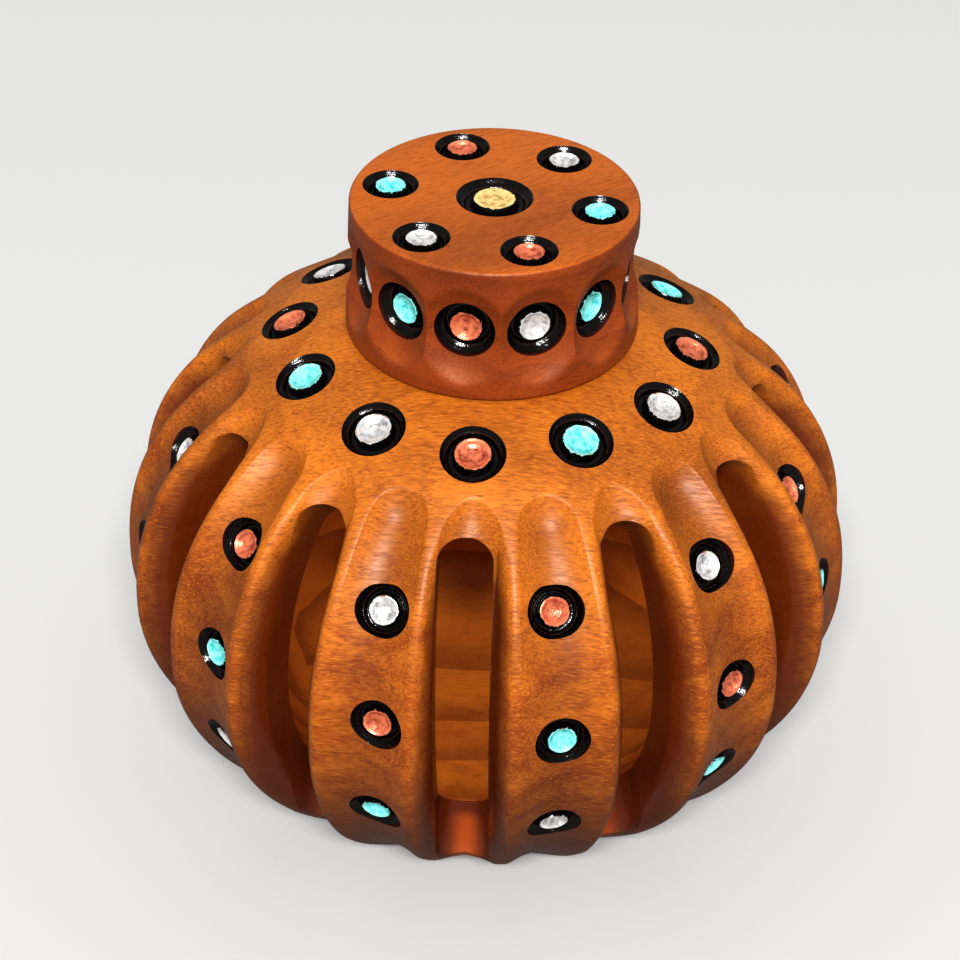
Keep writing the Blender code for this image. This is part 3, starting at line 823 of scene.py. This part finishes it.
def woodColour(tree, place, look):
    # Growth rings round a pith that runs left to right under the vessel
    wander = noiseAt(tree, stretched(tree, place, (9, 26, 26)), 1.0, 3.0)
    move = (0, -wood["pith"][0], -wood["pith"][1])
    across = stretched(tree, place, (wood["ringStretch"], 1, 1), move=move)
    distance = addNode(tree, "ShaderNodeVectorMath", {"operation": "LENGTH"}, {0: across}).outputs[1]
    rings = maths(tree, "MULTIPLY_ADD", wander, wood["ringWander"], distance)
    rings = maths(tree, "FRACT", maths(tree, "DIVIDE", rings, wood["ringPitch"]))
    lateWood = maths(tree, "MULTIPLY", ramp(tree, rings, 0.3, 0.95), ramp(tree, rings, 1.0, 0.97))

    # Short wavy fibres along the grain, a slow golden figure and broad darker clouds
    waver = noiseAt(tree, stretched(tree, place, (150, 150, 150)), 1.0, 1.0)
    sway = maths(tree, "MULTIPLY", waver, wood["fibreSway"])
    sway = addNode(tree, "ShaderNodeCombineXYZ", None, {2: sway}).outputs[0]
    swayed = addNode(tree, "ShaderNodeVectorMath", {"operation": "ADD"}, {0: place, 1: sway}).outputs[0]
    fibres = noiseAt(tree, stretched(tree, swayed, wood["fibreScale"]), 1.0, 2.0, 0.6)
    tool = noiseAt(tree, stretched(tree, swayed, wood["toolScale"]), 1.0, 2.0, 0.6)
    mottle = noiseAt(tree, stretched(tree, place, wood["mottleScale"]), 1.0, 4.0, 0.6, 0.8)
    clouds = noiseAt(tree, stretched(tree, place, wood["cloudScale"]), 1.0, 3.0, 0.55)

    def figured(under, value, low, high, share, tone):
        factor = ramp(tree, value, low, high, 0, wood[share] * look["grain"])
        return blend(tree, factor, under, wood[tone])

    height = addNode(tree, "ShaderNodeSeparateXYZ", None, {0: place}).outputs[2]
    # Painted light: paler towards the crown
    lightFrom, lightTo, most = wood["crownLight"]
    warmth = ramp(tree, height, lightFrom, lightTo, look["golden"], look["golden"] + most)
    warmth = maths(tree, "ADD", mottle, warmth)
    colour = blend(tree, ramp(tree, warmth, 0.33, 0.72), wood["mid"], wood["pale"])
    colour = figured(colour, clouds, 0.42, 0.64, "cloudShare", "deep")
    ringTone = maths(tree, "MULTIPLY", lateWood, wood["ringStrength"] + look["bands"])
    colour = blend(tree, ringTone, colour, wood["deep"])
    colour = figured(colour, fibres, 0.44, 0.74, "fibreShare", "deep")
    colour = figured(colour, tool, 0.50, 0.28, "glintShare", "glint")
    colour = figured(colour, tool, 0.50, 0.74, "toolShare", "deep")
    stainAndShade = ramp(tree, clouds, 0.57, 0.74, 0, look["stainAndShade"])
    # Painted shade: darker towards the foot
    if look["carved"]:
        shadeFrom, shadeTo, most = wood["footShade"]
        stainAndShade = maths(tree, "MAXIMUM", stainAndShade, ramp(tree, height, shadeFrom, shadeTo, 0, most))
    return blend(tree, stainAndShade, colour, wood["stainAndShade"]), fibres, tool


def carvedColour(tree, colour, sunk):
    # Painted shade: darker down the flanks and in the slots; and a painted highlight, paler along the
    # middle of the grooves
    for tone, name in (("stainAndShade", "flankShade"), ("recessShadeColour", "recessShade")):
        toneFrom, toneTo, most = wood[name]
        colour = blend(tree, ramp(tree, sunk, toneFrom, toneTo, 0, most), colour, wood[tone])
    # A painted highlight along the middle of the groove below a slot
    grooveHighlight = addNode(tree, "ShaderNodeAttribute", {"attribute_name": "grooveHighlight"}).outputs["Fac"]
    return blend(tree, maths(tree, "MULTIPLY", grooveHighlight, wood["grooveHighlightShare"]), colour, wood["grooveHighlight"])


def woodMaterial(name):
    look = woodLooks[name]
    material, tree, shader = freshMaterial(name)
    coordinates = addNode(tree, "ShaderNodeTexCoord")
    place = stretched(tree, coordinates.outputs["Object"], (1, 1, 1), (0, 0, look["turn"]))
    colour, fibres, tool = woodColour(tree, place, look)
    rough, swing = wood["roughness"], wood["roughnessSwing"]
    gloss = ramp(tree, fibres, 0.3, 0.7, rough - swing, rough + swing)
    if look["carved"]:
        sunk = addNode(tree, "ShaderNodeAttribute", {"attribute_name": "sunk"}).outputs["Fac"]
        colour = carvedColour(tree, colour, sunk)
        polish = ramp(tree, sunk, *wood["recessPolish"], 0, wood["recessRoughness"] - rough)
        gloss = maths(tree, "ADD", gloss, polish)
    colour = blend(tree, 1.0, colour, look["tint"], "MULTIPLY")
    # Painted light: the upward faces of the lid paler
    if look["top"]:
        facing = addNode(tree, "ShaderNodeSeparateXYZ", None, {0: coordinates.outputs["Normal"]})
        paintedTopLight = ramp(tree, facing.outputs[2], 0.3, 0.95)
        colour = blend(tree, paintedTopLight, colour, blend(tree, 1.0, colour, look["top"], "MULTIPLY"))
    tree.links.new(colour, shader.inputs["Base Color"])
    tree.links.new(gloss, shader.inputs["Roughness"])
    shader.inputs["Coat Weight"].default_value = wood["coat"]
    shader.inputs["Coat Roughness"].default_value = wood["coatRoughness"]
    shader.inputs["Specular IOR Level"].default_value = wood["specular"]
    lines = maths(tree, "MULTIPLY_ADD", tool, 0.7, maths(tree, "MULTIPLY", fibres, 0.6))
    inputs = {"Height": lines, "Strength": 0.8, "Distance": wood["toolDepth"]}
    tree.links.new(addNode(tree, "ShaderNodeBump", None, inputs).outputs[0], shader.inputs["Normal"])
    return material


# Paint finish of each cup, and the black of the ring round it
paints = {
    "copper": {"colour": (0.72, 0.25, 0.135), "dark": (0.28, 0.05, 0.025), "metal": 0.35, "rough": 0.34},
    "turquoise": {"colour": (0.28, 0.70, 0.68), "dark": (0.02, 0.42, 0.41), "metal": 0.0, "rough": 0.4},
    "silver": {"colour": (0.70, 0.695, 0.69), "dark": (0.28, 0.275, 0.28), "metal": 0.35, "rough": 0.34},
    "gold": {"colour": (0.92, 0.70, 0.32), "dark": (0.5, 0.31, 0.08), "metal": 0.3, "rough": 0.4},
}
black = {"colour": (0.004, 0.0025, 0.0025), "line": (0.10, 0.02, 0.012), "rough": 0.16}

# Where the paint ends and how uneven it is, in shares of the dot's outer radius
paintEdge = {
    "cup": 0.53,
    "ragged": 0.13,
    "raggedScale": 1300,
    "blur": 0.006,
    "lumpScale": 820,
    "speckScale": 1900,
    "rimInset": 0.06,
    "rimWidth": 0.07,
    "rimLight": 0.4,
    "line": 0.812,
    "lineWidth": 0.02,
    "turnedLines": 62,
    "depth": 0.14 * mm,
    "specular": 0.4,
}


def dotMaterial(name):
    paint, edge = paints[name], paintEdge
    material, tree, shader = freshMaterial("dot_" + name)
    flat = addNode(tree, "ShaderNodeUVMap", {"uv_map": "dotMap"}).outputs[0]
    grown = 1 / dot["mapScale"]
    centred = stretched(tree, flat, (grown, grown, 0), move=(-grown / 2, -grown / 2, 0))
    share = addNode(tree, "ShaderNodeVectorMath", {"operation": "LENGTH"}, {0: centred}).outputs[1]
    place = addNode(tree, "ShaderNodeTexCoord").outputs["Object"]
    ragged = noiseAt(tree, place, edge["raggedScale"], 3.0, 0.6)
    ends = maths(tree, "MULTIPLY_ADD", ragged, edge["ragged"], edge["cup"] - edge["ragged"] / 2)
    mask = ramp(tree, maths(tree, "SUBTRACT", share, ends), edge["blur"], -edge["blur"])

    # Lumpy paint, lit along the cup's rim
    lumps = noiseAt(tree, place, edge["lumpScale"], 3.0, 0.55)
    shade = blend(tree, ramp(tree, lumps, 0.24, 0.62), paint["dark"], paint["colour"])
    rimLight = maths(tree, "SUBTRACT", share, edge["cup"] - edge["rimInset"])
    rimLight = ramp(tree, maths(tree, "ABSOLUTE", rimLight), edge["rimWidth"], 0.0, 0, edge["rimLight"])
    pale = tuple(min(channel * 1.35 + 0.06, 1) for channel in paint["colour"])
    shade = blend(tree, rimLight, shade, pale)

    # A thin dark red line on the black ring, and the same red at its outer edge
    line = maths(tree, "ABSOLUTE", maths(tree, "SUBTRACT", share, edge["line"]))
    line = ramp(tree, line, edge["lineWidth"], 0.0, 0, 0.8)
    line = maths(tree, "MULTIPLY", line, ramp(tree, ragged, 0.35, 0.6))
    rim = ramp(tree, share, 0.985, 1.03, 0, 0.8)
    ring = blend(tree, maths(tree, "MAXIMUM", line, rim), black["colour"], black["line"])
    tree.links.new(blend(tree, mask, ring, shade), shader.inputs["Base Color"])
    tree.links.new(maths(tree, "MULTIPLY", mask, paint["metal"]), shader.inputs["Metallic"])
    rough = maths(tree, "MULTIPLY_ADD", mask, paint["rough"] - black["rough"], black["rough"])
    tree.links.new(rough, shader.inputs["Roughness"])
    shader.inputs["Specular IOR Level"].default_value = edge["specular"]

    specks = noiseAt(tree, place, edge["speckScale"], 2.0, 0.6)
    turned = maths(tree, "SINE", maths(tree, "MULTIPLY", share, edge["turnedLines"]))
    surface = maths(tree, "MULTIPLY_ADD", turned, 0.12, maths(tree, "MULTIPLY_ADD", specks, 0.5, lumps))
    inputs = {"Height": surface, "Strength": 0.7, "Distance": edge["depth"]}
    tree.links.new(addNode(tree, "ShaderNodeBump", None, inputs).outputs[0], shader.inputs["Normal"])
    return material


def carvingAttributes(made):
    # "sunk": how far each point of the wood lies inside the ridge line, rising sooner at a slot
    data = made.data
    count = len(data.vertices)
    points = np.zeros(count * 3)
    data.vertices.foreach_get("co", points)
    points = points.reshape(-1, 3)
    radius = np.hypot(points[:, 0], points[:, 1])
    sunk = np.zeros(count)
    lineRadius, lineHeight = ridgeAt(np.linspace(0, lineEnd, 260))
    atOnce = 4000
    for start in range(0, count, atOnce):
        part = slice(start, start + atOnce)
        gap = np.hypot(
            radius[part, None] - lineRadius[None, :], points[part, 2][:, None] - lineHeight[None, :]
        )
        sunk[part] = gap.min(axis=1)
    azimuth = np.arctan2(points[:, 0], -points[:, 1])
    besideSlot = np.rint(azimuth / pitch).astype(int) % 2 == 0
    belowArch = float(ridgeAt(archCentre)[1]) - points[:, 2]
    atSlot = np.where(besideSlot, smoothStep(belowArch, 3 * mm, 9 * mm), 0)
    full = wood["sunkDepth"] + (wood["sunkDepthAtSlot"] - wood["sunkDepth"]) * atSlot

    # A painted highlight: paler along the middle of the groove below a slot
    aside = np.abs(azimuth - np.rint(azimuth / pitch) * pitch) * radius
    inGroove = smoothStep(vessel["slotFloorHeight"] - points[:, 2], 0, 3 * mm)
    grooveHighlight = (1 - smoothStep(aside, *wood["grooveHighlightHalf"])) * np.where(besideSlot, inGroove, 0)
    for name, values in (("sunk", np.clip(sunk / full, 0, 1)), ("grooveHighlight", grooveHighlight)):
        attribute = data.attributes.new(name, "FLOAT", "POINT")
        attribute.data.foreach_set("value", values.astype(np.float32))


def finished(made):
    # A cut can leave a tiny flake: two faces on the same corners, joined to nothing else
    carved = bmesh.new()
    carved.from_mesh(made.data)
    flakes = [
        face for face in carved.faces
        if len({beside for edge in face.edges for beside in edge.link_faces}) == 2
    ]
    bmesh.ops.delete(carved, geom=flakes, context="FACES")
    openEdges = sum(1 for edge in carved.edges if len(edge.link_faces) != 2)
    carved.to_mesh(made.data)
    carved.free()
    made.data.shade_smooth()
    made.data.set_sharp_from_angle(angle=sharpAngle)
    made.data.calc_loop_triangles()
    print(made.name, "has", len(made.data.loop_triangles), "triangles and", openEdges, "open edges")


def buildVessel(materials):
    made = flutedSkin(materials)
    cutWith(made, hollowCutter(materials))
    cutWith(made, slotsCutter(materials))
    cutWith(made, globeDotsCutter(materials))
    carvingAttributes(made)
    finished(made)
    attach(made, "root")
    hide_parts("vessel")
    print("vessel carved")


def buildLid(materials):
    made = lidBody(materials)
    cutWith(made, lidDotsCutter(materials, 0, True))
    cutWith(made, lidDotsCutter(materials, 1, False))
    finished(made)
    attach(made, "root")
    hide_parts("lid")
    print("lid carved")


# Floor, light and the camera at the photograph's angle
studio = {
    "azimuth": math.radians(2.973),
    "elevation": math.radians(36.84),
    "roll": math.radians(1.324),
    "distance": 0.4937,
    "sideShift": -1.57 * mm,
    "targetHeight": 71.3 * mm,
    "lens": 88.8,
    "clipStart": 0.01,
    "floorHalfWidth": 3.0,
    "floorColour": (0.59, 0.59, 0.585),
    "floorBounce": (0.30, 0.29, 0.28),
    "floorRoughness": 0.9,
    "floorSpecular": 0.2,
    "skyStrength": 0.5,
    "skySeen": 0.8,
    "keyPower": 375,
    "keyAzimuth": math.radians(3),
    "keyElevation": math.radians(45),
    "keyDistance": 5.0,
    "keyTargetHeight": 60 * mm,
    "keyWidth": 2.0,
    "keyHeight": 0.4,
    "gamma": 0.76,
}


def buildFloor():
    bm = bmesh.new()
    bmesh.ops.create_grid(bm, x_segments=1, y_segments=1, size=studio["floorHalfWidth"])
    material, tree, shader = freshMaterial("pale_floor")
    seen = addNode(tree, "ShaderNodeLightPath").outputs["Is Camera Ray"]
    paleness = blend(tree, seen, studio["floorBounce"], studio["floorColour"])
    tree.links.new(paleness, shader.inputs["Base Color"])
    shader.inputs["Roughness"].default_value = studio["floorRoughness"]
    shader.inputs["Specular IOR Level"].default_value = studio["floorSpecular"]
    floor = meshFrom("floor", bm, [material])
    print("floor laid")


def buildSky():
    # An even white sky that looks paler to the camera than the light it gives
    world = bpy.data.worlds.new("studio")
    world.use_nodes = True
    tree = world.node_tree
    background = tree.nodes["Background"]
    background.inputs["Color"].default_value = (1, 1, 1, 1)
    seen = addNode(tree, "ShaderNodeLightPath").outputs["Is Camera Ray"]
    inputs = {0: seen, 2: studio["skyStrength"], 3: studio["skySeen"]}
    strength = addNode(tree, "ShaderNodeMix", {"data_type": "FLOAT"}, inputs).outputs[0]
    tree.links.new(strength, background.inputs["Strength"])
    bpy.context.scene.world = world


def awayFrom(azimuth, elevation):
    # The direction from the vessel towards a light or the camera
    flat = math.cos(elevation)
    return Vector((math.sin(azimuth) * flat, -math.cos(azimuth) * flat, math.sin(elevation)))


def addKeyLight():
    data = bpy.data.lights.new("key", "AREA")
    data.shape = "RECTANGLE"
    data.size = studio["keyWidth"]
    data.size_y = studio["keyHeight"]
    data.energy = studio["keyPower"]
    light = bpy.data.objects.new("key", data)
    away = awayFrom(studio["keyAzimuth"], studio["keyElevation"])
    light.location = Vector((0, 0, studio["keyTargetHeight"])) + away * studio["keyDistance"]
    light.rotation_euler = away.to_track_quat("Z", "Y").to_euler()
    bpy.context.scene.collection.objects.link(light)


def addCamera():
    azimuth, roll = studio["azimuth"], studio["roll"]
    back = awayFrom(azimuth, studio["elevation"])
    right = Vector((math.cos(azimuth), math.sin(azimuth), 0))
    up = back.cross(right)
    rolledRight = right * math.cos(roll) + up * math.sin(roll)
    rolledUp = up * math.cos(roll) - right * math.sin(roll)
    data = bpy.data.cameras.new("camera")
    data.lens = studio["lens"]
    data.clip_start = studio["clipStart"]
    camera = bpy.data.objects.new("camera", data)
    target = right * studio["sideShift"] + Vector((0, 0, studio["targetHeight"]))
    placed = Matrix((rolledRight, rolledUp, back)).transposed().to_4x4()
    placed.translation = target + back * studio["distance"]
    camera.matrix_world = placed
    bpy.context.scene.collection.objects.link(camera)
    bpy.context.scene.camera = camera


def buildStudio():
    buildSky()
    addKeyLight()
    addCamera()
    bpy.context.scene.view_settings.view_transform = "Standard"
    bpy.context.scene.view_settings.gamma = studio["gamma"]
    print("studio set")


# The order fits the paints' places: two woods first, then copper, turquoise, silver and gold
finishes = [woodMaterial("turned_wood"), woodMaterial("hollow_wood")]
finishes += [dotMaterial(name) for name in ("copper", "turquoise", "silver")]
lidFinishes = [woodMaterial("lid_wood"), *finishes[1:], dotMaterial("gold")]
buildVessel(finishes)
buildLid(lidFinishes)
buildFloor()
buildStudio()
